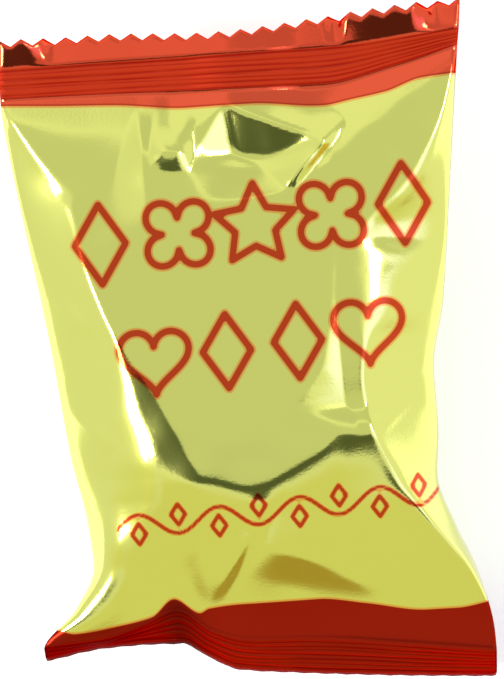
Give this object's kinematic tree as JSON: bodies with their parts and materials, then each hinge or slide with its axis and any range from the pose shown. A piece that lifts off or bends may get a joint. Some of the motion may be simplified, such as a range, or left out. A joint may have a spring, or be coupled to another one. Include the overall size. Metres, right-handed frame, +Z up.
{
  "type": "sealed flow-wrap biscuit pack",
  "caption": "Sealed metallised-film flow-wrap pack with a folded biscuit inside, crimped and zigzag-cut at both ends, lying on its long back seal.",
  "frame": {"origin": "bottom centre of the pack's box, on the surface it lies on", "axes": "+Z up, out of the printed front; +Y along the pack, towards the straighter end seal; +X to the right seen from above"},
  "size_m": [0.0658, 0.0976, 0.0265],
  "materials": {
    "printed_film": "metallised film, printed with transparent yellow-green ink, and transparent red ink in a band over each end seal; finely creased, mirror-like"
  },
  "bodies": {
    "root": {"flow_wrap_pack": "printed_film"}
  },
  "joints": []
}
